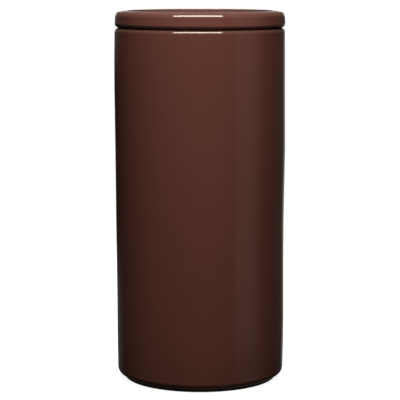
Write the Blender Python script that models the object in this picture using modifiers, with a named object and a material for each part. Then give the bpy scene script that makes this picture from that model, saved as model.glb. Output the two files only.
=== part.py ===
"""Glazed storage jar with a lift-off lid and a sealing ring in the lid's downstand.

Metres, +Z up. The origin is on the jar's axis, where the foot ring stands.
"""

import math

import bpy

MM = 0.001
SEGMENTS = 64           # straight steps round each turned piece
ARC_STEPS = 4           # straight steps in a rounded edge
SHARP_ANGLE = math.radians(40)  # edges sharper than this show as edges
MERGE_DISTANCE = 0.01 * MM      # joins the turned points on the axis
AXIS_MARK = 10.0 * MM           # drawn length of the empties on the axis
CLEARANCE = 0.3 * MM    # between pieces that touch in use

# Jar, outside
JAR_HEIGHT = 209.0 * MM     # foot to mouth rim
SHOULDER_RADIUS = 50.0 * MM  # just under the mouth rim, half of the 100 mm diameter
BELLY_SWELL = 0.5 * MM      # the widest place, out from the shoulder
BELLY_HEIGHT = 165.0 * MM
WAIST_TUCK = 0.1 * MM       # in from the shoulder, where the wall is narrow
WAIST_HEIGHT = 60.0 * MM
BASE_TUCK = 0.35 * MM       # in from the shoulder, just above the lower rounded edge
RIM_ROUNDING = 2.1 * MM     # outer edge of the mouth rim
MOUTH_ROUNDING = 1.0 * MM   # inner edge of the mouth rim
LOWER_ROUNDING = 3.8 * MM   # lower edge of the wall
FOOT_INSET = 4.4 * MM       # foot ring's outside, in from the wall above it
FOOT_HEIGHT = 2.2 * MM
FOOT_WIDTH = 5.2 * MM
FOOT_ROUNDING = 0.6 * MM

# Jar, inside and underneath
WALL = 4.5 * MM
FLOOR_THICKNESS = 5.0 * MM
FLOOR_FILLET = 6.0 * MM
UNDERSIDE_RECESS = 1.6 * MM  # clay inside the foot ring, clear of the shelf

# Lid, above the seam
LID_OVERHANG = 0.35 * MM    # how far the lid's edge stands outside the shoulder
LID_HEIGHT = 9.8 * MM       # flange underside to rim
LID_LEAN = 0.5 * MM         # how far the side leans in towards the top
LID_TOP_ROUNDING = 3.7 * MM
LID_LOWER_ROUNDING = 2.4 * MM
LID_RIM_WIDTH = 6.9 * MM
RECESS_DEPTH = 5.5 * MM
RECESS_ROUNDING = 0.3 * MM  # upper inner edge of the rim
RECESS_FILLET = 2.5 * MM    # where the rim meets the sunken top
PLATE_THICKNESS = 5.0 * MM

# Lid, the plug that reaches into the mouth
PLUG_PLAY = 1.2 * MM        # between plug and mouth, which the seal fills
PLUG_DEPTH = 11.0 * MM
PLUG_WALL = 6.0 * MM
PLUG_ROUNDING = 1.0 * MM
PLUG_FILLET = 2.5 * MM      # where the plug meets the plate
GROOVE_TOP = 3.0 * MM       # groove's upper edge, below the flange
GROOVE_HEIGHT = 5.0 * MM
GROOVE_DEPTH = 1.7 * MM

# Seal
SEAL_LIPS = 3
LIP_TIP = 0.35 * MM         # thickness at a lip's tip
LIP_ROOT = 1.1 * MM         # thickness at a lip's root
LIP_RISE = 0.3 * MM         # how far a lip's tip is bent up
SEAL_BAND = 1.4 * MM        # thickness of the band that carries the lips

# Sizes that follow from those above
BELLY_RADIUS = SHOULDER_RADIUS + BELLY_SWELL
WAIST_RADIUS = SHOULDER_RADIUS - WAIST_TUCK
BASE_RADIUS = SHOULDER_RADIUS - BASE_TUCK
FLANGE_HEIGHT = JAR_HEIGHT + CLEARANCE
MOUTH_RADIUS = SHOULDER_RADIUS - WALL
PLUG_RADIUS = MOUTH_RADIUS - PLUG_PLAY
GROOVE_RADIUS = PLUG_RADIUS - GROOVE_DEPTH
GROOVE_LOW = FLANGE_HEIGHT - GROOVE_TOP - GROOVE_HEIGHT
LID_RADIUS = SHOULDER_RADIUS + LID_OVERHANG
LID_CREST_RADIUS = LID_RADIUS - LID_LEAN
RECESS_RADIUS = LID_CREST_RADIUS - LID_RIM_WIDTH


def arc(centre_r, centre_z, radius, start, end):
    """Points of a rounded edge, from one angle in degrees to another, as (r, z)."""
    points = []
    for step in range(ARC_STEPS + 1):
        angle = math.radians(start + (end - start) * step / ARC_STEPS)
        points.append((centre_r + radius * math.cos(angle), centre_z + radius * math.sin(angle)))
    return points


def wall_inside(height):
    """Radius of the jar's inside: a straight taper, one wall in from shoulder and base."""
    share = height / JAR_HEIGHT
    return BASE_RADIUS - WALL + (SHOULDER_RADIUS - BASE_RADIUS) * share


def jar_profile():
    """The jar from the middle of its floor, up the inside, over the rim, down and under the foot."""
    shoulder_z = JAR_HEIGHT - RIM_ROUNDING
    wall_low = FOOT_HEIGHT + LOWER_ROUNDING
    foot_radius = BASE_RADIUS - FOOT_INSET
    foot_inside = foot_radius - FOOT_WIDTH
    floor_z = UNDERSIDE_RECESS + FLOOR_THICKNESS
    fillet_z = floor_z + FLOOR_FILLET
    fillet_r = wall_inside(fillet_z) - FLOOR_FILLET

    inside = [(0.0, floor_z)]
    inside += arc(fillet_r, fillet_z, FLOOR_FILLET, -90, 0)
    inside += arc(MOUTH_RADIUS + MOUTH_ROUNDING, JAR_HEIGHT - MOUTH_ROUNDING, MOUTH_ROUNDING, 180, 90)
    outside = arc(SHOULDER_RADIUS - RIM_ROUNDING, shoulder_z, RIM_ROUNDING, 90, 0)
    outside += [(BELLY_RADIUS, BELLY_HEIGHT), (WAIST_RADIUS, WAIST_HEIGHT)]
    outside += arc(BASE_RADIUS - LOWER_ROUNDING, wall_low, LOWER_ROUNDING, 0, -90)
    foot = [(foot_radius, FOOT_HEIGHT)]
    foot += arc(foot_radius - FOOT_ROUNDING, FOOT_ROUNDING, FOOT_ROUNDING, 0, -90)
    foot += arc(foot_inside + FOOT_ROUNDING, FOOT_ROUNDING, FOOT_ROUNDING, -90, -180)
    foot += [(foot_inside, UNDERSIDE_RECESS), (0.0, UNDERSIDE_RECESS)]
    return inside + outside + foot


def lid_profile():
    """The lid from the middle of its sunken top, over the rim, down the plug and in under the plate."""
    crest_z = FLANGE_HEIGHT + LID_HEIGHT
    recess_z = crest_z - RECESS_DEPTH
    plate_low = recess_z - PLATE_THICKNESS
    plug_low = FLANGE_HEIGHT - PLUG_DEPTH
    plug_inside = PLUG_RADIUS - PLUG_WALL
    groove_top = GROOVE_LOW + GROOVE_HEIGHT

    top = [(0.0, recess_z)]
    top += arc(RECESS_RADIUS - RECESS_FILLET, recess_z + RECESS_FILLET, RECESS_FILLET, -90, 0)
    top += arc(RECESS_RADIUS + RECESS_ROUNDING, crest_z - RECESS_ROUNDING, RECESS_ROUNDING, 180, 90)
    side = arc(LID_CREST_RADIUS - LID_TOP_ROUNDING, crest_z - LID_TOP_ROUNDING, LID_TOP_ROUNDING, 90, 0)
    side += arc(LID_RADIUS - LID_LOWER_ROUNDING, FLANGE_HEIGHT + LID_LOWER_ROUNDING,
                LID_LOWER_ROUNDING, 0, -90)
    plug = [(PLUG_RADIUS, FLANGE_HEIGHT), (PLUG_RADIUS, groove_top), (GROOVE_RADIUS, groove_top)]
    plug += [(GROOVE_RADIUS, GROOVE_LOW), (PLUG_RADIUS, GROOVE_LOW)]
    plug += arc(PLUG_RADIUS - PLUG_ROUNDING, plug_low + PLUG_ROUNDING, PLUG_ROUNDING, 0, -90)
    plug += arc(plug_inside + PLUG_ROUNDING, plug_low + PLUG_ROUNDING, PLUG_ROUNDING, -90, -180)
    under = arc(plug_inside - PLUG_FILLET, plate_low - PLUG_FILLET, PLUG_FILLET, 0, 90)
    return top + side + plug + under + [(0.0, plate_low)]


def seal_profile():
    """The sealing ring: a band in the lid's groove, with lips that reach almost to the mouth's wall."""
    low = GROOVE_LOW + CLEARANCE
    high = GROOVE_LOW + GROOVE_HEIGHT - CLEARANCE
    inside = GROOVE_RADIUS + CLEARANCE
    root = inside + SEAL_BAND
    tip = wall_inside(low) - CLEARANCE
    pitch = (high - low) / SEAL_LIPS
    points = [(inside, high)]
    for lip in range(SEAL_LIPS):
        middle = high - pitch * (lip + 0.5)
        points += [(root, middle + LIP_ROOT / 2), (tip, middle + LIP_RISE + LIP_TIP / 2)]
        points += [(tip, middle + LIP_RISE - LIP_TIP / 2), (root, middle - LIP_ROOT / 2)]
    return points + [(inside, low)]


def material(name, colour, roughness, coat):
    """A plain Principled material; the colour is linear red, green and blue."""
    made = bpy.data.materials.new(name)
    made.use_nodes = True
    shader = made.node_tree.nodes["Principled BSDF"]
    shader.inputs["Base Color"].default_value = (*colour, 1.0)
    shader.inputs["Roughness"].default_value = roughness
    shader.inputs["Metallic"].default_value = 0.0
    shader.inputs["Coat Weight"].default_value = coat
    made.diffuse_color = (*colour, 1.0)
    return made


def turned(name, profile, ring, finish, collection, parent):
    """A piece turned about Z from an (r, z) profile that runs down its outer side.

    A ring's profile closes on itself; any other starts and ends on the axis.
    """
    mesh = bpy.data.meshes.new(name)
    last = len(profile) - 1
    edges = [(n, n + 1) for n in range(last)]
    if ring:
        edges.append((last, 0))
    mesh.from_pydata([(r, 0.0, z - parent.location.z) for r, z in profile], edges, [])
    piece = bpy.data.objects.new(name, mesh)
    collection.objects.link(piece)
    piece.parent = parent
    screw = piece.modifiers.new("Turn", "SCREW")
    screw.axis = "Z"
    screw.steps = SEGMENTS
    screw.render_steps = SEGMENTS
    screw.use_merge_vertices = True
    screw.merge_threshold = MERGE_DISTANCE

    evaluated = piece.evaluated_get(bpy.context.evaluated_depsgraph_get())
    piece.data = bpy.data.meshes.new_from_object(evaluated)
    piece.data.name = name
    piece.modifiers.clear()
    bpy.data.meshes.remove(mesh)
    piece.data.materials.append(finish)
    piece.data.shade_smooth()
    piece.data.set_sharp_from_angle(angle=SHARP_ANGLE)
    return piece


def empty(name, height, collection, parent):
    """An empty on the jar's axis, at a height above its parent."""
    made = bpy.data.objects.new(name, None)
    made.empty_display_size = AXIS_MARK
    made.location.z = height
    made.parent = parent
    collection.objects.link(made)
    return made


def build():
    for old in list(bpy.data.objects):
        bpy.data.objects.remove(old, do_unlink=True)
    jar = bpy.data.collections.new("storage_jar")
    bpy.context.scene.collection.children.link(jar)

    glaze = material("brown_glaze", (0.105, 0.033, 0.026), 0.12, 1.0)
    silicone = material("milky_silicone", (0.62, 0.60, 0.56), 0.45, 0.0)

    stand = empty("jar_axis", 0.0, jar, None)
    lift = empty("lid_axis", FLANGE_HEIGHT, jar, None)
    turned("jar_body", jar_profile(), False, glaze, jar, stand)
    turned("lid", lid_profile(), False, glaze, jar, lift)
    turned("lid_seal", seal_profile(), True, silicone, jar, lift)


build()
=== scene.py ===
import math

import bpy
import numpy as np
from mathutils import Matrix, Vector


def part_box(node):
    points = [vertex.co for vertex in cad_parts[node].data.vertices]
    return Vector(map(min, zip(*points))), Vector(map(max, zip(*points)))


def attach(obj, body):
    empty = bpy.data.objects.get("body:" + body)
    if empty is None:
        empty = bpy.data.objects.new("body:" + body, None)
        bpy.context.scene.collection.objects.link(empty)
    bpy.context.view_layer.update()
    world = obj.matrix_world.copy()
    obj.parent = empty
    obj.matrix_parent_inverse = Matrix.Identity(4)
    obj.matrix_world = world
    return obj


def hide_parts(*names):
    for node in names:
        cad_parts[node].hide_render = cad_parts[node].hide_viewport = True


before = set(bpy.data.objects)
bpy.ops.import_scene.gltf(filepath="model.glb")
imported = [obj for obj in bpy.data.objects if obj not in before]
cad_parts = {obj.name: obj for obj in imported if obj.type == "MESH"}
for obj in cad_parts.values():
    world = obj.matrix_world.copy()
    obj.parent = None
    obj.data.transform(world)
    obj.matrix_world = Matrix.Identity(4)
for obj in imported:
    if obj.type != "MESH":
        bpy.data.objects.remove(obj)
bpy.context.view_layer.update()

mm = 0.001
turnSteps = 256  # straight steps round every turned piece
turnAngles = np.arange(turnSteps) * 2.0 * math.pi / turnSteps


# Shares from 0 to 1 that crowd together at both ends: half a cosine wave
def easedShares(length, endStep=0.12 * mm):
    count = max(2, math.ceil(0.5 * math.pi * math.sqrt(length / endStep)))
    return 0.5 - 0.5 * np.cos(np.linspace(0.0, math.pi, count + 1))


# A corner's arc: it touches both sides at rounding / tan(half the corner), and its centre lies on
# the corner's middle line at rounding / sin(half the corner)
def cornerArc(before, corner, after, rounding, arcSteps):
    sideIn = (before - corner) / np.linalg.norm(before - corner)
    sideOut = (after - corner) / np.linalg.norm(after - corner)
    half = 0.5 * math.acos(float(np.clip(sideIn @ sideOut, -1.0, 1.0)))
    middle = (sideIn + sideOut) / np.linalg.norm(sideIn + sideOut)
    centre = corner + middle * rounding / math.sin(half)
    first = corner + sideIn * rounding / math.tan(half) - centre
    last = corner + sideOut * rounding / math.tan(half) - centre
    start = math.atan2(first[1], first[0])
    sweep = math.remainder(math.atan2(last[1], last[0]) - start, 2.0 * math.pi)
    angle = start + sweep * np.linspace(0.0, 1.0, arcSteps + 1)
    bend = np.full(angle.size, -math.copysign(1.0 / rounding, sweep))  # convex is positive
    return centre + rounding * np.stack([np.cos(angle), np.sin(angle)], axis=1), bend


# An outline from corners (radius, height, rounding): straight sides, with every corner turned into
# an arc. Returns the points, their bend (one over the arc's radius) and their side numbers: side n
# runs on from corner n, whose own arc is n - 0.5
def roundedOutline(corners, arcSteps, ring=False):
    spots = np.array([corner[:2] for corner in corners], float)
    count = len(corners)
    arcs = []
    for n in range(count):
        rounding = corners[n][2]
        atEnd = not ring and n in (0, count - 1)
        if atEnd or rounding <= 0:
            arcs.append((spots[n:n + 1], np.zeros(1)))
        else:
            arcs.append(cornerArc(spots[n - 1], spots[n], spots[(n + 1) % count], rounding, arcSteps))
    points, bends, sides = [], [], []
    for n in range(count if ring else count - 1):
        arc, bend = arcs[n]
        start, end = arc[-1], arcs[(n + 1) % count][0][0]
        share = easedShares(float(np.linalg.norm(end - start)))[1:-1, None]
        run = start + (end - start) * share
        points += [arc, run]
        bends += [bend, np.zeros(len(run))]
        sides += [np.full(len(arc), n - 0.5), np.full(len(run), float(n))]
    if not ring:
        points.append(spots[-1:])
        bends.append(np.zeros(1))
        sides.append(np.full(1, count - 1.5))
    return np.concatenate(points), np.concatenate(bends), np.concatenate(sides)


# Length along an outline, from its first point
def outlineLength(points):
    steps = np.linalg.norm(np.diff(points, axis=0), axis=1)
    return np.concatenate([[0.0], np.cumsum(steps)])


# A value along an outline, spread by a bell curve of the given width, cut off at three widths
def softened(points, value, width):
    along = outlineLength(points)
    step = width / 6.0
    even = np.arange(0.0, along[-1] + step, step)
    reach = np.arange(-3.0 * width, 3.0 * width + step, step)
    bell = np.exp(-0.5 * (reach / width) ** 2)
    spread = np.convolve(np.interp(even, along, value), bell / bell.sum(), mode="same")
    return np.interp(along, even, spread)


# 0 where a distance is below zero and 1 where it is above, in a straight line over the width
def softEdge(distance, width):
    return np.clip(distance / width + 0.5, 0.0, 1.0)


# The outline moved by a distance along its own outward normal
def offsetOutline(points, distance):
    slope = np.gradient(points, outlineLength(points), axis=0)
    normal = np.stack([-slope[:, 1], slope[:, 0]], axis=1)
    normal /= np.linalg.norm(normal, axis=1, keepdims=True)
    moved = points + normal * distance[:, None]
    moved[[0, -1], 0] = points[[0, -1], 0]  # the ends stay on the axis
    return moved


# How a fired piece's radius sways: three times round as well as twice, and turning with height
swayLook = {"thirdShare": 0.6, "thirdTurn": -1.7, "turnHeight": 60.0 * mm}


# An outline turned about Z: x = r cos a + lean, y = r sin a, z = z, for a round the circle, and
# r (1 + sway wave(a) / widest) in place of r
def turnedGrid(points, sway, swayPhase, lean):
    radius, height = points[:, :1], points[:, 1:]
    turn = height / swayLook["turnHeight"] + swayPhase
    third = swayLook["thirdShare"] * np.cos(3.0 * turnAngles + swayLook["thirdTurn"] * turn)
    wave = np.cos(2.0 * turnAngles + turn) + third
    swayed = radius * (1.0 + sway * wave / radius.max())
    across = swayed * np.cos(turnAngles) + np.reshape(lean, (-1, 1))
    return np.stack(np.broadcast_arrays(across, swayed * np.sin(turnAngles), height), axis=2)


# A turned piece. A ring's outline closes on itself, and any other starts and ends on the axis, where
# the surface closes in one point. Marks are values for each outline point, or for each point and angle
def turnedPiece(name, points, ring=False, sway=0.0, swayPhase=0.0, lean=0.0, marks=None):
    grid = turnedGrid(points, sway, swayPhase, lean)
    rows = np.arange(len(points)) if ring else np.arange(1, len(points) - 1)
    first = np.arange(len(rows) if ring else len(rows) - 1)[:, None] * turnSteps
    second = (first + turnSteps) % (len(rows) * turnSteps)
    here = np.arange(turnSteps)
    there = (here + 1) % turnSteps
    quads = np.stack([first + here, second + here, second + there, first + there], axis=2)
    quads = quads.reshape(-1, 4)
    corners = grid[rows].reshape(-1, 3)
    spread = {mark: np.broadcast_to(np.reshape(value, (len(points), -1)), grid.shape[:2])
              for mark, value in (marks or {}).items()}
    values = {mark: value[rows].ravel() for mark, value in spread.items()}
    triangles = np.zeros((0, 3), int)
    if not ring:
        pole = np.full(turnSteps, len(corners))
        last = len(corners) - turnSteps
        capTop = np.stack([pole, here, there], axis=1)
        capLow = np.stack([pole + 1, last + there, last + here], axis=1)
        triangles = np.concatenate([capTop, capLow])
        poles = grid[[0, -1], 0] * (0.0, 0.0, 1.0)
        corners = np.concatenate([corners, poles])
        for mark, value in spread.items():
            values[mark] = np.concatenate([values[mark], value[[0, -1], 0]])
    return finishedMesh(name, corners, quads, triangles, values)


# One mesh object at the origin from corners, quads and triangles, shaded smooth
def finishedMesh(name, corners, quads, triangles, values):
    mesh = bpy.data.meshes.new(name)
    loops = np.concatenate([quads.ravel(), triangles.ravel()]).astype(np.int32)
    sizes = np.concatenate([np.full(len(quads), 4), np.full(len(triangles), 3)])
    starts = np.concatenate([[0], np.cumsum(sizes)[:-1]]).astype(np.int32)
    mesh.vertices.add(len(corners))
    mesh.vertices.foreach_set("co", corners.astype(np.float32).ravel())
    mesh.loops.add(len(loops))
    mesh.loops.foreach_set("vertex_index", loops)
    mesh.polygons.add(len(sizes))
    mesh.polygons.foreach_set("loop_start", starts)
    mesh.update(calc_edges=True)
    mesh.shade_smooth()
    for mark, value in values.items():
        layer = mesh.attributes.new(mark, "FLOAT", "POINT")
        layer.data.foreach_set("value", value.astype(np.float32))
    piece = bpy.data.objects.new(name, mesh)
    bpy.context.scene.collection.objects.link(piece)
    print("made", name, "with", len(quads) * 2 + len(triangles), "triangles")
    return piece


# One node at a column and row; a value may be a number, a colour or another node's socket
def addNode(tree, kind, column, row, values=None, **settings):
    node = tree.nodes.new("ShaderNode" + kind)
    node.location = (column * 200, -row * 180)
    for key, value in settings.items():
        setattr(node, key, value)
    for key, value in (values or {}).items():
        if isinstance(value, bpy.types.NodeSocket):
            tree.links.new(value, node.inputs[key])
        else:
            node.inputs[key].default_value = value
    return node


# Two values joined by one operation
def addMath(tree, operation, column, row, first, second=0.0, clamp=False):
    values = {0: first, 1: second}
    return addNode(tree, "Math", column, row, values, operation=operation, use_clamp=clamp).outputs[0]


# Two or more values joined by the same operation, one after the other
def joinValues(tree, operation, column, row, values):
    joined = values[0]
    for n, value in enumerate(values[1:]):
        joined = addMath(tree, operation, column + n, row, joined, value)
    return joined


# A smooth step from 0 at low to 1 at high
def addStep(tree, column, row, value, low, high):
    values = {"Value": value, "From Min": low, "From Max": high}
    return addNode(tree, "MapRange", column, row, values, interpolation_type="SMOOTHSTEP").outputs[0]


# The first value where the share is 0 and the second where it is 1; the same for colours below
def mixValues(tree, column, row, share, first, second):
    values = {0: share, 2: first, 3: second}
    return addNode(tree, "Mix", column, row, values, data_type="FLOAT").outputs[0]


def mixColours(tree, column, row, share, first, second, blend="MIX"):
    values = {0: share, 6: first, 7: second}
    return addNode(tree, "Mix", column, row, values, data_type="RGBA", blend_type=blend).outputs[2]


# Object coordinates, moved by the seed along the given axes, so that two pieces differ
def addPlace(tree, seed, axes):
    place = addNode(tree, "TexCoord", 0, 0).outputs["Object"]
    offset = addNode(tree, "CombineXYZ", 0, 2, {axis: seed for axis in axes}).outputs[0]
    return addNode(tree, "VectorMath", 1, 0, {0: place, 1: offset}, operation="ADD").outputs[0]


# Noise whose lumps are about the given size
def addNoise(tree, column, row, place, size, detail):
    scale = addMath(tree, "DIVIDE", column, row, 1.0, size)
    values = {"Vector": place, "Scale": scale, "Detail": detail}
    return addNode(tree, "TexNoise", column + 1, row, values)


# Small round spots, 1 in their middles: space is cut into cells, and a spot sits in the middle of
# those few cells where one channel of the cell's own random colour is high
def addSpots(tree, column, row, place, size, spots):
    scale = addMath(tree, "DIVIDE", column, row, spots["cell"], size)
    cells = addNode(tree, "TexVoronoi", column + 1, row, {"Vector": place, "Scale": scale}).outputs
    near = addStep(tree, column + 2, row, cells["Distance"], *spots["edge"])
    lot = addNode(tree, "SeparateColor", column + 2, row + 1, {"Color": cells["Color"]})
    few = addStep(tree, column + 3, row + 1, lot.outputs[spots["channel"]], *spots["chosen"])
    return addMath(tree, "MULTIPLY", column + 4, row, near, few)


# A node group with named inputs and outputs, each of them a Color or a Float
def newGroup(name, inputs, outputs):
    group = bpy.data.node_groups.new(name, "ShaderNodeTree")
    for way, sockets in (("INPUT", inputs), ("OUTPUT", outputs)):
        for title, kind in sockets.items():
            group.interface.new_socket(name=title, in_out=way, socket_type="NodeSocket" + kind)
    return group, group.nodes.new("NodeGroupInput").outputs, group.nodes.new("NodeGroupOutput").inputs


cloudPattern = {
    "drawnOut": 0.35,                      # the large clouds' scale along Z
    "fineSize": 0.2, "fineShare": 0.4,     # the small clouds, against the large ones
    "flecks": {"cell": 0.35, "edge": (0.16, 0.05), "chosen": (0.90, 0.97), "channel": "Red"},
}


# Glaze colour: lighter where it runs thin over an edge and on a painted sheen, darker where it
# pools in a corner and on painted shade, and clouded by two sizes of noise, the larger one drawn
# out downwards as a glaze runs
def glazeToneGroup():
    group, given, made = newGroup(
        "glazeTone",
        {"Glaze": "Color", "Thin And Sheen": "Color", "Pool And Shade": "Color", "Edge And Painted Light": "Float", "Cloud Size": "Float",
         "Cloud Amount": "Float", "Fleck Size": "Float", "Fleck Amount": "Float", "Seed": "Float"},
        {"Color": "Color", "Pooled And Shaded": "Float"})
    pattern = cloudPattern
    place = addPlace(group, given["Seed"], "XYZ")
    drawing = {"Vector": place, "Scale": (1.0, 1.0, pattern["drawnOut"])}
    drawn = addNode(group, "Mapping", 2, 0, drawing).outputs[0]
    fineSize = addMath(group, "MULTIPLY", 2, 1, given["Cloud Size"], pattern["fineSize"])
    cloud = addNoise(group, 3, 0, drawn, given["Cloud Size"], 3.0).outputs["Fac"]
    fine = addNoise(group, 3, 1, place, fineSize, 4.0).outputs["Fac"]
    fine = addMath(group, "MULTIPLY", 5, 1, fine, pattern["fineShare"])
    both = addMath(group, "ADD", 6, 0, cloud, fine)
    centred = addMath(group, "SUBTRACT", 7, 0, both, 0.5 + 0.5 * pattern["fineShare"])
    swing = addMath(group, "MULTIPLY", 8, 0, centred, given["Cloud Amount"])
    bright = addMath(group, "ADD", 9, 0, swing, 1.0)
    grey = addNode(group, "CombineColor", 10, 0, {"Red": bright, "Green": bright, "Blue": bright})
    spots = addSpots(group, 2, 3, place, given["Fleck Size"], pattern["flecks"])
    speck = addMath(group, "MULTIPLY", 7, 3, spots, given["Fleck Amount"])
    # Thinning over convex edges, together with the painted sheen
    thinAndSheen = addMath(group, "MAXIMUM", 6, 5, given["Edge And Painted Light"], 0.0, clamp=True)
    # Pooling in corners, together with the painted shade
    poolAndShade = addMath(group, "MULTIPLY", 6, 6, given["Edge And Painted Light"], -1.0, clamp=True)
    toned = mixColours(group, 8, 2, thinAndSheen, given["Glaze"], given["Thin And Sheen"])
    toned = mixColours(group, 9, 2, poolAndShade, toned, given["Pool And Shade"])
    toned = mixColours(group, 10, 2, speck, toned, given["Pool And Shade"])
    toned = mixColours(group, 11, 1, 1.0, toned, grey.outputs[0], "MULTIPLY")
    group.links.new(toned, made["Color"])
    group.links.new(poolAndShade, made["Pooled And Shaded"])
    return group


pinholePattern = {"cell": 0.25, "edge": (0.14, 0.04), "chosen": (0.955, 0.975), "channel": "Green"}


# Height of a skin: slow ripples, a fine orange peel and a few pinholes, in metres
def fineSkinGroup():
    group, given, made = newGroup(
        "fineSkin",
        {"Ripple Size": "Float", "Ripple Height": "Float", "Peel Size": "Float", "Peel Height": "Float",
         "Pinhole Size": "Float", "Pinhole Depth": "Float", "Seed": "Float"},
        {"Height": "Float"})
    place = addPlace(group, given["Seed"], "XY")
    heights = []
    for row, title in enumerate(("Ripple", "Peel")):
        noise = addNoise(group, 2, row, place, given[title + " Size"], 1.0).outputs["Fac"]
        heights.append(addMath(group, "MULTIPLY", 4, row, noise, given[title + " Height"]))
    holes = addSpots(group, 2, 3, place, given["Pinhole Size"], pinholePattern)
    depth = addMath(group, "MULTIPLY", 7, 3, holes, given["Pinhole Depth"])
    total = joinValues(group, "ADD", 6, 0, heights)
    group.links.new(addMath(group, "SUBTRACT", 8, 0, total, depth), made["Height"])
    return group


sandPattern = {
    "roughness": 0.7, "grains": (0.58, 0.72), "grainShare": 0.55,
    "patchScale": 60.0, "patchShare": 0.35,
}


# Bare fired clay: warm grey with darker grains and soft patches, and a sandy surface
def bareClayGroup():
    group, given, made = newGroup(
        "bareClay",
        {"Clay": "Color", "Dark Grain": "Color", "Grain Size": "Float", "Grain Height": "Float"},
        {"Color": "Color", "Height": "Float"})
    pattern = sandPattern
    place = addNode(group, "TexCoord", 0, 0).outputs["Object"]
    sandNoise = addNoise(group, 1, 0, place, given["Grain Size"], 5.0)
    sandNoise.inputs["Roughness"].default_value = pattern["roughness"]
    sand = sandNoise.outputs["Fac"]
    patching = {"Vector": place, "Scale": pattern["patchScale"], "Detail": 3.0}
    patches = addNode(group, "TexNoise", 2, 2, patching).outputs["Color"]
    grains = addStep(group, 3, 0, sand, *pattern["grains"])
    grains = addMath(group, "MULTIPLY", 4, 1, grains, pattern["grainShare"])
    toned = mixColours(group, 5, 0, grains, given["Clay"], given["Dark Grain"])
    patchy = mixColours(group, 6, 0, pattern["patchShare"], toned, patches, "SOFT_LIGHT")
    group.links.new(patchy, made["Color"])
    group.links.new(addMath(group, "MULTIPLY", 5, 2, sand, given["Grain Height"]), made["Height"])
    return group


glazeTone = glazeToneGroup()
fineSkin = fineSkinGroup()
bareClay = bareClayGroup()
print("shader groups ready")


# An empty material and its node tree
def newMaterial(name):
    material = bpy.data.materials.new(name)
    material.use_nodes = True
    material.node_tree.nodes.clear()
    return material, material.node_tree


# A shared group, placed in a material with that material's own values
def placeGroup(tree, group, column, row, values):
    return addNode(tree, "Group", column, row, values, node_tree=group).outputs


# A skin's height as the surface's normal
def addBump(tree, column, row, height):
    values = {"Height": height, "Distance": 1.0, "Strength": 1.0}
    return addNode(tree, "Bump", column, row, values).outputs[0]


# The Principled shader as the material's surface
def finishMaterial(tree, column, values):
    shader = addNode(tree, "BsdfPrincipled", column, 0, values)
    addNode(tree, "OutputMaterial", column + 1, 0, {"Surface": shader.outputs[0]})


# The glaze that jar and lid share
glazeLook = {
    "colours": {
        "Glaze": (0.104, 0.0357, 0.0255),
        "Thin And Sheen": (0.128, 0.072, 0.060),    # over convex edges where it runs thin, greyed as a painted sheen, and on the painted sheen of a steep wall
        "Pool And Shade": (0.005, 0.002, 0.0015),   # in corners where it pools, and painted shade: the seam under the lid, the rim's flat, the lower wall
    },
    "clouds": {
        "Cloud Size": 30.0 * mm, "Cloud Amount": 0.16,
        "Fleck Size": 0.7 * mm, "Fleck Amount": 0.45,
    },
    "skin": {
        "Ripple Size": 20.0 * mm, "Ripple Height": 0.012 * mm,
        "Peel Size": 1.6 * mm, "Peel Height": 0.0006 * mm,
        "Pinhole Size": 0.4 * mm, "Pinhole Depth": 0.02 * mm,
    },
    "roughness": 0.07, "ior": 1.62,
    "bareClay": {
        "Clay": (0.32, 0.225, 0.165, 1), "Dark Grain": (0.10, 0.055, 0.04, 1),
        "Grain Size": 0.7 * mm, "Grain Height": 0.03 * mm,
    },
    "clayRoughness": 0.85,
    "thinSpread": 0.4 * mm,    # how far thinning and pooling reach past a rounding's ends
    "thinRadius": 0.45 * mm,   # a rounding this tight is thin or pooled all the way
}


# The glaze at a seed and a painted light level that scales its colours. The mesh's edge mark is 1
# where it runs thin and where a sheen is painted, and -1 where it pools and where shade is painted,
# and its bareClay mark is 1 where there is none
def glazeMaterial(name, seed, paintedLightLevel):
    look = glazeLook
    colours = {title: (*(paintedLightLevel * part for part in colour), 1.0)
               for title, colour in look["colours"].items()}
    material, tree = newMaterial(name)
    edge = addNode(tree, "Attribute", 0, 0, attribute_name="glazeEdgeAndPaintedLight").outputs["Fac"]
    bare = addNode(tree, "Attribute", 0, 3, attribute_name="bareClay").outputs["Fac"]
    tone = placeGroup(tree, glazeTone, 1, 0, {**colours, "Edge And Painted Light": edge, **look["clouds"], "Seed": seed})
    skin = placeGroup(tree, fineSkin, 1, 2, {**look["skin"], "Seed": seed})
    clay = placeGroup(tree, bareClay, 1, 4, look["bareClay"])
    # Bare clay, pooled glaze and painted shade are drawn matte
    matteShare = addMath(tree, "MAXIMUM", 2, 1, bare, tone["Pooled And Shaded"])
    rough = addNode(tree, "MapRange", 3, 1, {
        "Value": matteShare, "To Min": look["roughness"], "To Max": look["clayRoughness"]}).outputs[0]
    height = mixValues(tree, 3, 2, bare, skin["Height"], clay["Height"])
    finishMaterial(tree, 5, {
        "Base Color": mixColours(tree, 3, 0, bare, tone["Color"], clay["Color"]),
        "Roughness": rough, "Normal": addBump(tree, 4, 2, height), "IOR": look["ior"]})
    return material


# The glaze's edge mark: the outline's softened bend times a radius, less the painted shade there,
# which paints a sheen where it is below 0
def glazeEdgeAndPaintedLight(points, bend, paintedShade):
    thinAndSheen = softened(points, bend, glazeLook["thinSpread"]) * glazeLook["thinRadius"]
    return np.clip(thinAndSheen[:, None] - paintedShade, -1.0, 1.0)


# Takes the glaze's thickness off bare clay. At the face that the piece stands on nothing is taken, so
# that its height stays, and what is taken grows over the fade above that
def takeGlazeOff(points, bare, low, fade, thickness):
    above = np.clip((points[:, 1] - low) / fade, 0.0, 1.0)
    return offsetOutline(points, -bare * above * thickness)


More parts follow.
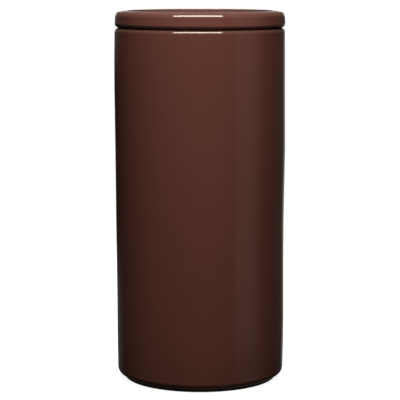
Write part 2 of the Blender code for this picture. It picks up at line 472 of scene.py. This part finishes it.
jarShape = {
    "mouthRadius": 45.5 * mm, "insideBase": 45.15 * mm,
    "rimRounding": 2.0 * mm, "mouthRounding": 1.0 * mm,
    # the wall's line, from base to shoulder: height, and how far in from the solid's widest place
    "wallLine": [(6.0, 0.84), (20.0, 0.58), (33.0, 0.48), (70.0, 0.465), (100.0, 0.365), (137.0, -0.04),
                 (166.0, -0.06), (190.0, -0.02), (206.9, 0.25)],
    # how far the fired wall leans to the right: height, and lean
    "leanLine": [(6.0, 0.16), (40.0, 0.30), (95.0, -0.08), (137.0, 0.12), (176.0, -0.24),
                 (206.9, -0.22)],
    "lineSoftness": 4.0 * mm,
    "lowerRounding": 3.8 * mm, "footHeight": 2.2 * mm, "footInset": 4.4 * mm,
    "footWidth": 5.2 * mm, "footRounding": 0.6 * mm, "footFillet": 0.45 * mm,
    "undersideRecess": 1.6 * mm, "recessFillet": 0.7 * mm,
    "floorThickness": 5.0 * mm, "floorFillet": 6.0 * mm,
    "glazeLine": 2.3 * mm, "glazeLineWidth": 0.3 * mm,   # the glaze stops this far above the ground
    "glazeDepth": 0.12 * mm,
    "rimShadeOut": 0.25 * mm, "rimShadeWidth": 0.6 * mm,   # painted shade under the lid: the rim's flat is dark out to here
    "lowShadeHeight": 26.0 * mm, "run": 0.12,   # painted shade: how high and how much the wall darkens towards its lower end
    "sway": 0.04 * mm, "swayPhase": 0.4, "seed": 0.0, "paintedLightLevel": 1.0, "arcSteps": 16,
}


# A line of (height, value) pairs in millimetres, read off at each point's height
def readLine(line, height):
    heights, values = np.array(line).T * mm
    return np.interp(height, heights, values)


# The jar: floor, inner wall, rim, outer wall and foot as one outline, turned about Z. The outer wall's
# radius is the solid's widest radius less the wall's line at that height
def makeJar():
    shape = jarShape
    low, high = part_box("jar_body")
    rim, belly = high.z, high.x
    baseTuck, shoulderTuck = (shape["wallLine"][end][1] * mm for end in (0, -1))
    shoulder, base = belly - shoulderTuck, belly - baseTuck
    foot = base - shape["footInset"]
    footInside = foot - shape["footWidth"]
    floor = shape["undersideRecess"] + shape["floorThickness"]
    corners = [
        (0.0, floor, 0.0),
        (shape["insideBase"], floor, shape["floorFillet"]),
        (shape["mouthRadius"], rim, shape["mouthRounding"]),
        (shoulder, rim, shape["rimRounding"]),
        (base, shape["footHeight"], shape["lowerRounding"]),
        (foot, shape["footHeight"], shape["footFillet"]),
        (foot, low.z, shape["footRounding"]),
        (footInside, low.z, shape["footRounding"]),
        (footInside, shape["undersideRecess"], shape["recessFillet"]),
        (0.0, shape["undersideRecess"], 0.0),
    ]
    innerWall, outerWall, footsInnerFace = 1.0, 3.0, 7.0  # sides
    points, bend, side = roundedOutline(corners, shape["arcSteps"])
    height = points[:, 1]
    tuck = softened(points, readLine(shape["wallLine"], height), shape["lineSoftness"])
    wall = side == outerWall
    points[wall, 0] = belly - tuck[wall]
    for arc, endTuck in ((outerWall - 0.5, shoulderTuck), (outerWall + 0.5, baseTuck)):
        points[side == arc, 0] += endTuck - tuck[side == arc]
    outside = (side > outerWall - 1.0) & (side < outerWall + 1.0)
    lean = np.where(outside, readLine(shape["leanLine"], height), 0.0)
    lean = softened(points, lean, shape["lineSoftness"])
    underFoot = (side > outerWall) & (side < footsInnerFace)
    bare = np.where(underFoot, softEdge(shape["glazeLine"] - height, shape["glazeLineWidth"]), 0.0)
    # Painted shade: the rim's flat, shaded by the lid, is drawn dark out to near its rounding
    onRim = (side > innerWall) & (side < outerWall)
    rimShadeEnd = shoulder - shape["rimRounding"] + shape["rimShadeOut"]
    paintedShade = np.where(onRim, softEdge(rimShadeEnd - points[:, 0], shape["rimShadeWidth"]), 0.0)
    # Painted shade: the lower wall is drawn darker towards the base
    run = np.clip(1.0 - height / shape["lowShadeHeight"], 0.0, 1.0)
    paintedShade += np.where(side >= outerWall, shape["run"] * run, 0.0)
    marks = {"glazeEdgeAndPaintedLight": glazeEdgeAndPaintedLight(points, bend, paintedShade[:, None]), "bareClay": bare}
    points = takeGlazeOff(points, bare, low.z, shape["footHeight"], shape["glazeDepth"])
    jar = turnedPiece("glazedJar", points, sway=shape["sway"], swayPhase=shape["swayPhase"],
                      lean=lean, marks=marks)
    jar.data.materials.append(glazeMaterial("jarGlaze", shape["seed"], shape["paintedLightLevel"]))
    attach(jar, "jar")
    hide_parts("jar_body")


lidShape = {
    "sideLean": 0.5 * mm,   # the rim's side leans inwards by this much up to its top
    "topRounding": 2.8 * mm, "lowerRounding": 2.4 * mm, "rimWidth": 6.9 * mm,
    "fallWidth": 5.0 * mm, "fall": 0.9 * mm, "fallRounding": 4.0 * mm,   # the rim's top falls outwards
    "height": 9.8 * mm, "recessDepth": 5.5 * mm, "recessRounding": 0.30 * mm, "recessFillet": 2.5 * mm,
    "plateThickness": 5.0 * mm, "plugRadius": 44.3 * mm, "plugWall": 6.0 * mm,
    "plugRounding": 1.0 * mm, "plugFillet": 2.5 * mm, "flangeFillet": 0.5 * mm,
    "grooveTop": 3.0 * mm, "grooveHeight": 5.0 * mm, "grooveDepth": 1.7 * mm,
    "grooveRounding": 0.25 * mm,
    "seamShade": 2.0 * mm,       # painted shade in the seam with the jar: dark up to this height above the flat under the rim, and higher by this much on one side, where the seam's shade is deeper
    "seamShadeLean": 0.8 * mm,   # and higher by this much on one side
    "seamShadeWidth": 2.0 * mm,
    "steepSheen": 0.5, "steepSheenWidth": 0.4 * mm,   # painted sheen: the sunken top's steep wall gets the lighter edge colour, as a reflection
    "glazeLine": 0.5 * mm, "glazeLineWidth": 0.35 * mm,   # how far above the plug's end glaze stops
    "glazeDepth": 0.10 * mm,
    # the lid's colours are 1.18 times the jar's, painted light: a lighter copy of the same glaze
    "sway": 0.03 * mm, "swayPhase": 2.1, "seed": 3.7, "paintedLightLevel": 1.18, "arcSteps": 14,
}


# The lid: sunken top, rim, flat under the rim, plug with its groove, and underside as one outline,
# turned about Z. Painted shade darkens it below a height of shade - lean cos a above the flat
def makeLid():
    shape = lidShape
    low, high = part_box("lid")
    crest, radius, plugLow = high.z, high.x, low.z
    flange = crest - shape["height"]
    crestRadius = radius - shape["sideLean"]
    recess, recessRadius = crest - shape["recessDepth"], crestRadius - shape["rimWidth"]
    plateLow = recess - shape["plateThickness"]
    plug, plugInside = shape["plugRadius"], shape["plugRadius"] - shape["plugWall"]
    grooveTop = flange - shape["grooveTop"]
    grooveLow, groove = grooveTop - shape["grooveHeight"], plug - shape["grooveDepth"]
    corners = [
        (0.0, recess, 0.0),
        (recessRadius, recess, shape["recessFillet"]),
        (recessRadius, crest, shape["recessRounding"]),
        (crestRadius - shape["fallWidth"], crest, shape["fallRounding"]),
        (crestRadius, crest - shape["fall"], shape["topRounding"]),
        (radius, flange, shape["lowerRounding"]),
        (plug, flange, shape["flangeFillet"]),
        (plug, grooveTop, shape["grooveRounding"]),
        (groove, grooveTop, shape["grooveRounding"]),
        (groove, grooveLow, shape["grooveRounding"]),
        (plug, grooveLow, shape["grooveRounding"]),
        (plug, plugLow, shape["plugRounding"]),
        (plugInside, plugLow, shape["plugRounding"]),
        (plugInside, plateLow, shape["plugFillet"]),
        (0.0, plateLow, 0.0),
    ]
    steepWall, underRim, plugFace = 1.0, 5.0, 11.0  # sides; it is fired standing on its plug's face
    points, bend, side = roundedOutline(corners, shape["arcSteps"])
    height = points[:, 1]
    under = (side > underRim - 1.0) & (side < underRim + 1.0)
    # Painted shade on the lid's lower rounding, where it meets the jar, deeper on one side
    seamShadeTop = flange + shape["seamShade"] - shape["seamShadeLean"] * np.cos(turnAngles)
    seamShaded = softEdge(seamShadeTop - height[:, None], shape["seamShadeWidth"])
    paintedShade = np.where(under[:, None], seamShaded, 0.0)
    # Painted sheen: the steep wall of the sunken top is drawn in the lighter edge colour
    paintedSheen = np.where(side == steepWall, shape["steepSheen"], 0.0)
    paintedSheen = softened(points, paintedSheen, shape["steepSheenWidth"])
    standing = (side > plugFace - 1.0) & (side < plugFace + 1.0)
    glazeLine = plugLow + shape["glazeLine"]
    bare = np.where(standing, softEdge(glazeLine - height, shape["glazeLineWidth"]), 0.0)
    edge = glazeEdgeAndPaintedLight(points, bend, paintedShade - paintedSheen[:, None])
    marks = {"glazeEdgeAndPaintedLight": edge, "bareClay": bare}
    points = takeGlazeOff(points, bare, plugLow, shape["glazeLine"], shape["glazeDepth"])
    lid = turnedPiece("glazedLid", points, sway=shape["sway"], swayPhase=shape["swayPhase"],
                      marks=marks)
    # The lid's glaze is a lighter copy of the jar's glaze, as painted light
    lid.data.materials.append(glazeMaterial("lidGlaze", shape["seed"], shape["paintedLightLevel"]))
    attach(lid, "lid")
    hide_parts("lid")


sealShape = {
    "inside": 42.9 * mm, "band": 1.4 * mm, "edgeRounding": 0.12 * mm,
    "lips": 3, "lipTip": 0.35 * mm, "lipRoot": 1.1 * mm, "lipRise": 0.3 * mm, "arcSteps": 6,
    "silicone": (0.66, 0.645, 0.60, 1), "milk": (0.74, 0.73, 0.69, 1), "milkScale": 45.0,
    "roughness": (0.30, 0.46), "lintScale": 900.0, "ior": 1.42,
    "skin": {
        "Ripple Size": 4.0 * mm, "Ripple Height": 0.004 * mm,
        "Peel Size": 0.3 * mm, "Peel Height": 0.0012 * mm,
        "Pinhole Size": 0.4 * mm, "Pinhole Depth": 0.0, "Seed": 1.3,
    },
    "glow": 0.35, "glowReach": (2.2 * mm, 2.0 * mm, 1.7 * mm),   # light that passes through
}


# Milky silicone that light passes some way into, its shine broken by lint
def siliconeMaterial():
    look = sealShape
    material, tree = newMaterial("milkySilicone")
    place = addNode(tree, "TexCoord", 0, 0).outputs["Object"]
    lint = addNode(tree, "TexNoise", 1, 0, {"Vector": place, "Scale": look["lintScale"], "Detail": 4.0})
    milk = addNode(tree, "TexNoise", 1, 2, {"Vector": place, "Scale": look["milkScale"], "Detail": 2.0})
    smoothest, roughest = look["roughness"]
    rough = addNode(tree, "MapRange", 2, 0, {
        "Value": lint.outputs["Fac"], "To Min": smoothest, "To Max": roughest}).outputs[0]
    skin = placeGroup(tree, fineSkin, 1, 1, look["skin"])
    finishMaterial(tree, 4, {
        "Base Color": mixColours(tree, 3, 0, milk.outputs["Fac"], look["silicone"], look["milk"]),
        "Roughness": rough, "Normal": addBump(tree, 2, 1, skin["Height"]), "IOR": look["ior"],
        "Subsurface Weight": look["glow"], "Subsurface Radius": look["glowReach"],
        "Subsurface Scale": 1.0})
    return material


# The sealing ring: a band with evenly spaced lips as one closed outline, turned about Z. Each lip
# narrows from root to tip, and its tip stands a little above its root
def makeSeal():
    shape = sealShape
    low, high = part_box("lid_seal")
    tip, inside = high.x, shape["inside"]
    root = inside + shape["band"]
    pitch = (high.z - low.z) / shape["lips"]
    soft = shape["edgeRounding"]
    corners = [(inside, high.z, soft)]
    halfRoot, halfTip = shape["lipRoot"] / 2.0, shape["lipTip"] / 2.0
    for lip in range(shape["lips"]):
        middle = high.z - pitch * (lip + 0.5)
        raised = middle + shape["lipRise"]
        corners += [(root, middle + halfRoot, soft), (tip, raised + halfTip, soft)]
        corners += [(tip, raised - halfTip, soft), (root, middle - halfRoot, soft)]
    corners.append((inside, low.z, soft))
    points = roundedOutline(corners, shape["arcSteps"], ring=True)[0]
    seal = turnedPiece("siliconeRing", points, ring=True)
    seal.data.materials.append(siliconeMaterial())
    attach(seal, "seal")
    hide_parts("lid_seal")


makeJar()
makeLid()
makeSeal()
print("jar, lid and sealing ring dressed")


floorLook = {
    "size": 1.6, "fadeFrom": 0.30, "fadeTo": 0.75,   # metres, the fade from the jar's axis
    "pale": (0.30, 0.30, 0.30, 1), "lift": 0.90,     # share of white that the camera adds
    "bounce": (0.05, 0.05, 0.05, 1),                 # what the glaze gets back from the floor
}


# A pale floor that fades out to the white behind it and is clear from below; its shadow stays
def makeFloor():
    look = floorLook
    half = look["size"] / 2.0
    corners = np.array([(-half, -half, 0.0), (half, -half, 0.0), (half, half, 0.0), (-half, half, 0.0)])
    floor = finishedMesh("studioFloor", corners, np.array([[0, 1, 2, 3]]), np.zeros((0, 3), int), {})
    material, tree = newMaterial("paleFloor")
    toCamera = addNode(tree, "LightPath", 0, 0).outputs["Is Camera Ray"]
    tone = mixColours(tree, 1, 0, toCamera, look["bounce"], look["pale"])
    matt = addNode(tree, "BsdfDiffuse", 2, 0, {"Color": tone})
    lift = addMath(tree, "MULTIPLY", 1, 2, toCamera, look["lift"])
    glow = addNode(tree, "Emission", 2, 1, {"Strength": lift})
    lit = addNode(tree, "AddShader", 3, 0, {0: matt.outputs[0], 1: glow.outputs[0]})
    place = addNode(tree, "TexCoord", 0, 3).outputs["Object"]
    away = addNode(tree, "VectorMath", 1, 3, {0: place}, operation="LENGTH").outputs["Value"]
    fade = addStep(tree, 2, 3, away, look["fadeFrom"], look["fadeTo"])
    below = addNode(tree, "NewGeometry", 2, 4).outputs["Backfacing"]
    gone = addMath(tree, "MAXIMUM", 3, 3, fade, below)
    clear = addNode(tree, "BsdfTransparent", 3, 2)
    mixed = addNode(tree, "MixShader", 4, 0, {0: gone, 1: lit.outputs[0], 2: clear.outputs[0]})
    addNode(tree, "OutputMaterial", 5, 0, {"Surface": mixed.outputs[0]})
    floor.data.materials.append(material)
    floor.visible_glossy = False  # the glaze mirrors the dark room, not the floor


# The lights that the glaze mirrors, each a level and its edges. An edge fades in over a softness
# either side of a place, or out where the softness is below 0. It goes by "turn", degrees to the
# right of the front, by "around", the same either way, or by "height", the direction's share upwards
worldLook = {
    "lights": {
        "backdrop": (0.15, [("around", 166.0, 5.0)]),
        "aboveBackdrop": (0.85, [("around", 158.0, 8.0), ("height", 0.0, 0.01),
                                 ("height", 0.085, -0.05)]),
        "backdropWing": (0.27, [("turn", 154.5, 4.0), ("turn", 172.0, -7.0),
                                ("height", -0.036, -0.01)]),
        "rightPanel": (0.12, [("turn", 49.0, 2.5), ("turn", 84.0, -10.0)]),
        "behindPanel": (0.038, [("turn", 128.0, 15.0)]),
        "leftUpper": (0.09, [("turn", -142.0, -22.0), ("height", -0.050, 0.025)]),
        "leftLower": (0.09, [("turn", -142.0, -22.0), ("height", -0.180, -0.032)]),
    },
    "lowest": -0.245, "lowestSoftness": 0.015,   # the lights keep a share of their level below that
    "lowShare": 0.35,
    "room": 0.006,      # what the glaze mirrors everywhere
    "ambient": 0.015, "tint": (1.0, 0.96, 0.88, 1),
}


# A dark room with a white backdrop behind the jar and dim panels at its sides. The camera sees white
# all round, and mirrored and bent rays see the brightest of the lights that stand where they go
def makeWorld():
    look = worldLook
    world = bpy.data.worlds.new("studio")
    bpy.context.scene.world = world
    world.use_nodes = True
    tree = world.node_tree
    tree.nodes.clear()
    path = addNode(tree, "LightPath", 0, 0).outputs
    toward = addNode(tree, "TexCoord", 0, 2).outputs["Generated"]
    axes = addNode(tree, "SeparateXYZ", 1, 2, {0: toward}).outputs
    front = addMath(tree, "MULTIPLY", 2, 3, axes["Y"], -1.0)
    turn = addMath(tree, "ARCTAN2", 3, 3, axes["X"], front)
    turn = addMath(tree, "MULTIPLY", 4, 3, turn, 180.0 / math.pi)
    around = addMath(tree, "ABSOLUTE", 5, 2, turn)
    readings = {"turn": turn, "around": around, "height": axes["Z"]}
    lights = []
    row = 3
    for level, edges in look["lights"].values():
        steps = []
        for reading, spot, softness in edges:
            steps.append(addStep(tree, 6, row, readings[reading], spot - softness, spot + softness))
            row += 1
        lights.append(joinValues(tree, "MULTIPLY", 7, row - 1, [*steps, level]))
    brightest = joinValues(tree, "MAXIMUM", 10, 3, lights)
    share = addNode(tree, "MapRange", 10, 5, {
        "Value": axes["Z"], "To Min": look["lowShare"],
        "From Min": look["lowest"] - look["lowestSoftness"],
        "From Max": look["lowest"] + look["lowestSoftness"]}).outputs[0]
    shared = addMath(tree, "MULTIPLY", 17, 3, brightest, share)
    mirrored = addMath(tree, "ADD", 18, 3, shared, look["room"])
    seen = addMath(tree, "MAXIMUM", 18, 1, path["Is Glossy Ray"], path["Is Transmission Ray"])
    level = mixValues(tree, 19, 1, seen, look["ambient"], mirrored)
    level = mixValues(tree, 20, 0, path["Is Camera Ray"], level, 1.0)
    tint = mixColours(tree, 20, 2, path["Is Camera Ray"], look["tint"], (1, 1, 1, 1))
    sky = addNode(tree, "Background", 21, 0, {"Color": tint, "Strength": level})
    addNode(tree, "OutputWorld", 22, 0, {"Surface": sky.outputs[0]})


# The front softbox shapes the jar, the slanted one gives the bright lines on the roundings, and the
# back one lights the side that is turned away. Only the slanted one is mirrored, and it lights nothing
softboxes = {
    "frontSoftbox": {"place": (0.012, -0.385, 0.545), "slant": 45.0, "size": (0.35, 0.35),
                     "power": 4.2, "colour": (1.0, 1.0, 1.0), "mirrored": False},
    "shineSoftbox": {"place": (-0.0275, -0.309, 0.760), "slant": 59.5, "size": (0.585, 0.417),
                     "power": 11.3, "colour": (1.0, 0.93, 0.85), "mirrored": True},
    "backSoftbox": {"place": (0.05, 0.40, 0.62), "slant": 0.0, "size": (0.50, 0.40),
                    "power": 6.0, "colour": (1.0, 1.0, 1.0), "mirrored": False},
}


# A rectangular lamp, turned about X by its slant, that the camera doesn't see
def makeSoftbox(name, light):
    data = bpy.data.lights.new(name, "AREA")
    data.shape = "RECTANGLE"
    data.size, data.size_y = light["size"]
    data.energy = light["power"]
    data.color = light["colour"]
    box = bpy.data.objects.new(name, data)
    bpy.context.scene.collection.objects.link(box)
    box.location = light["place"]
    box.rotation_euler = (math.radians(light["slant"]), 0.0, 0.0)
    box.visible_camera = False
    box.visible_diffuse = not light["mirrored"]
    box.visible_glossy = light["mirrored"]


cameraLook = {
    "distance": 0.99964, "height": 0.24435, "pitch": 7.853,   # metres in front, metres up, degrees down
    "focal": 1687.1, "frame": 400,                            # pixels
    "sensor": 36.0, "nearest": 0.05, "farthest": 20.0,
}


# The camera looks level along Y, pitched down; focal length in mm = focal in pixels x sensor / frame
def makeCamera():
    look = cameraLook
    data = bpy.data.cameras.new("camera")
    data.sensor_width = look["sensor"]
    data.lens = look["focal"] * look["sensor"] / look["frame"]
    data.clip_start = look["nearest"]
    data.clip_end = look["farthest"]
    camera = bpy.data.objects.new("camera", data)
    bpy.context.scene.collection.objects.link(camera)
    camera.location = (0.0, -look["distance"], look["height"])
    camera.rotation_euler = (math.radians(90.0 - look["pitch"]), 0.0, 0.0)
    bpy.context.scene.camera = camera


makeFloor()
makeWorld()
for softboxName, softbox in softboxes.items():
    makeSoftbox(softboxName, softbox)
makeCamera()
bpy.context.scene.view_settings.view_transform = "Standard"
print("floor, light and camera ready")
